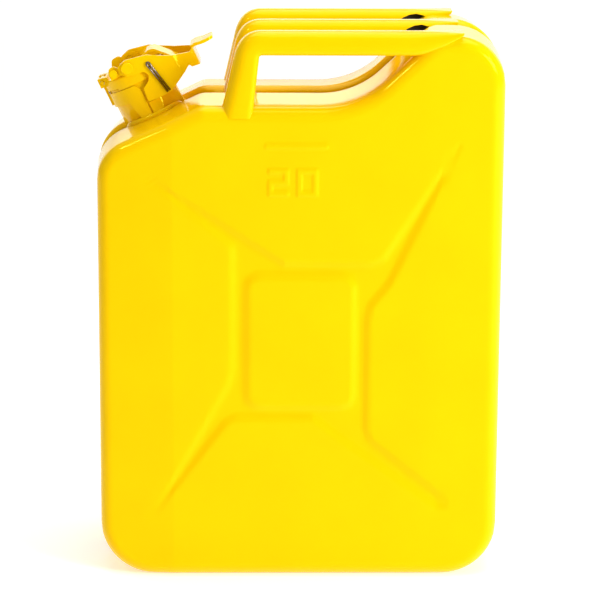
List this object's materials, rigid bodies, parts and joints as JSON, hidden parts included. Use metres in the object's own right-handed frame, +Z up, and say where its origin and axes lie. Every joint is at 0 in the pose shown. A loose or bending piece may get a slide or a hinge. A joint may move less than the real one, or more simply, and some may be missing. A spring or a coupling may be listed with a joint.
{
  "type": "jerry can",
  "caption": "Tall steel fuel can of two pressed halves with a recessed seam, three parallel handles and a tilted neck closed by a lever lid with a locking pin.",
  "frame": {"origin": "centre of the footprint on the floor under the can", "axes": "+Z up, +X along the can away from the neck, +Y through the can's thickness towards its rear face"},
  "size_m": [0.344, 0.165, 0.47],
  "materials": {
    "body_paint": "high gloss yellow enamel",
    "bare_steel": "plated wire and pins, semi bright",
    "inner_metal": "dull plated",
    "seal": "matt"
  },
  "bodies": {
    "root": {"front_shell": "body_paint", "rear_shell": "body_paint", "seam_weld": "body_paint", "handle_front": "body_paint", "handle_middle": "body_paint", "handle_rear": "body_paint", "neck_tube": "body_paint", "neck_weld": "body_paint", "hinge_bracket": "body_paint", "hinge_pin": "bare_steel", "breather_tube": "inner_metal", "breather_clip": "inner_metal"},
    "lid_body": {"lid": "body_paint", "lid_gasket": "seal", "gasket_plate": "inner_metal", "lid_saddle": "body_paint", "lid_rivet": "bare_steel", "lever_pin_front": "body_paint", "lever_pin_rear": "body_paint"},
    "lever_body": {"lever": "body_paint"},
    "pin_body": {"locking_pin": "bare_steel"}
  },
  "joints": [
    {"name": "lid_hinge", "type": "hinge", "parent": "root", "child": "lid_body", "pos_m": [-0.16702, 0, 0.41724], "axis": [0, -1, 0], "range_deg": [0, 120]},
    {"name": "lever_pivot", "type": "hinge", "parent": "lid_body", "child": "lever_body", "pos_m": [-0.14526, 0, 0.43204], "axis": [0, -1, 0], "range_deg": [0, 60]},
    {"name": "locking_pin_slide", "type": "slide", "parent": "lever_body", "child": "pin_body", "axis": [-0.6145, 0, 0.7889], "range_m": [0, 0.03]}
  ]
}
